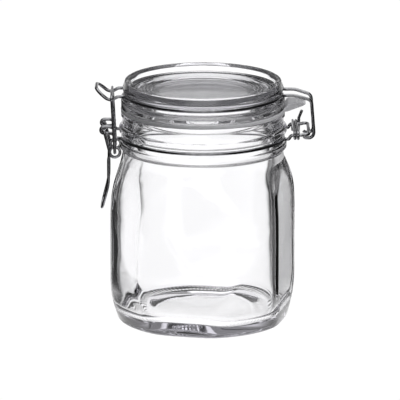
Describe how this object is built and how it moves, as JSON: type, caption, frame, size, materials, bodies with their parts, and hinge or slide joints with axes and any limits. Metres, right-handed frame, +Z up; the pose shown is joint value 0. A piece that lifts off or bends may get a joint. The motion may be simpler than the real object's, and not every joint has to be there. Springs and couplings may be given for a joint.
{
  "type": "bail clamp jar",
  "caption": "Square glass preserving jar with a hinged glass lid, a rubber seal and a sprung wire clamp that pulls the lid shut.",
  "frame": {"origin": "centre of the base, in the plane the jar stands on", "axes": "+Z up the jar, +X towards the lid hinge, -X towards the clamp lever, +Y across the hinge bar"},
  "size_m": [0.1313, 0.1106, 0.1454],
  "materials": {
    "glass": "clear, fire polished",
    "lid_glass": "clear, fire polished",
    "seal": "translucent, satin",
    "wire": "drawn steel wire, dull bright"
  },
  "bodies": {
    "jar": {"jar_body": "glass", "neck_wire": "wire", "hinge_binding": "wire"},
    "lid": {"lid": "lid_glass", "gasket": "seal", "lid_wire": "wire"},
    "lever": {"lever": "wire"},
    "link": {"link": "wire"}
  },
  "joints": [
    {"name": "lid_hinge", "type": "hinge", "parent": "jar", "child": "lid", "pos_m": [0.0628, 0, 0.1156], "axis": [0, 1, 0], "range_deg": [0, 110]},
    {"name": "lever_pivot", "type": "hinge", "parent": "jar", "child": "lever", "pos_m": [-0.0588, 0, 0.1172], "axis": [0, 1, 0], "range_deg": [0, 150]},
    {"name": "link_pivot", "type": "hinge", "parent": "lever", "child": "link", "pos_m": [-0.0524, 0, 0.104], "axis": [0, 1, 0], "range_deg": [-175, 0], "deforming": ["link"]}
  ],
  "couplings": [
    {"joint": "link_pivot", "follows": "lever_pivot", "ratio": -1.15}
  ]
}
